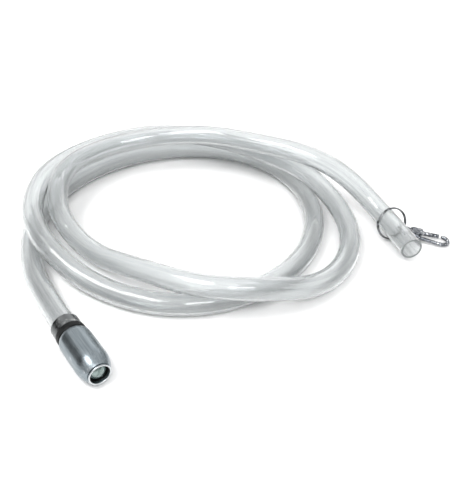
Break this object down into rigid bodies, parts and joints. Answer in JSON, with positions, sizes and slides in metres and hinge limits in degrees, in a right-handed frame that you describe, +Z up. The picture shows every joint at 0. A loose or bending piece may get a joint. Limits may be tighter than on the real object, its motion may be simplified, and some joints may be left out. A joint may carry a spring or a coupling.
{
  "type": "self-priming siphon hose",
  "caption": "Clear siphon hose in loose turns, with a steel ball-valve head on its inlet and a split ring with a snap hook near its outlet, for moving water between tanks.",
  "frame": {"origin": "on the resting surface, below the middle of the valve head", "axes": "+Z up, the valve head lies along Y with its nose towards -Y and the hose leaves it towards +Y"},
  "size_m": [0.2949, 0.2795, 0.0506],
  "materials": {
    "clear_hose": "clear flexible vinyl, smooth and glossy",
    "valve_steel": "satin, turned, with fine streaks along the head",
    "inner_steel": "turned, plain",
    "ring_steel": "bright drawn spring wire, darkened by use",
    "hook_steel": "dark polished cast steel",
    "dark_ferrule": "gunmetal, satin",
    "black_rubber": "matte",
    "ball_glass": "polished green glass"
  },
  "bodies": {
    "hose_and_head": {"hose": "clear_hose", "valve_shell": "valve_steel", "seat_ring": "black_rubber", "ball_stop": "inner_steel", "hose_tail": "inner_steel", "sealing_ring": "black_rubber", "ferrule": "dark_ferrule"},
    "ball": {"valve_ball": "ball_glass"},
    "ring": {"split_ring": "ring_steel"},
    "hook": {"hook_frame": "hook_steel", "gate_pin": "hook_steel", "gate_spring": "ring_steel"},
    "gate": {"hook_gate": "hook_steel"}
  },
  "joints": [
    {"name": "ball_lift", "type": "slide", "parent": "hose_and_head", "child": "ball", "axis": [0, 1, 0], "range_m": [0, 0.0055]},
    {"name": "ring_turn", "type": "hinge", "parent": "hose_and_head", "child": "ring", "pos_m": [0.25114, -0.01819, 0.01248], "axis": [-0.2593, -0.9593, -0.1122], "range_deg": [0, 105]},
    {"name": "hook_swing", "type": "hinge", "parent": "ring", "child": "hook", "pos_m": [0.26074, -0.02418, 0.00582], "axis": [0.6351, 0.1411, 0.7594], "range_deg": [-16, 45]},
    {"name": "gate_open", "type": "hinge", "parent": "hook", "child": "gate", "pos_m": [0.26836, -0.03202, 0.0045], "axis": [-0.0738, 0.0949, -0.9927], "range_deg": [0, 20], "stiffness_Nm_per_rad": 0.02, "springref_deg": -5.73}
  ]
}
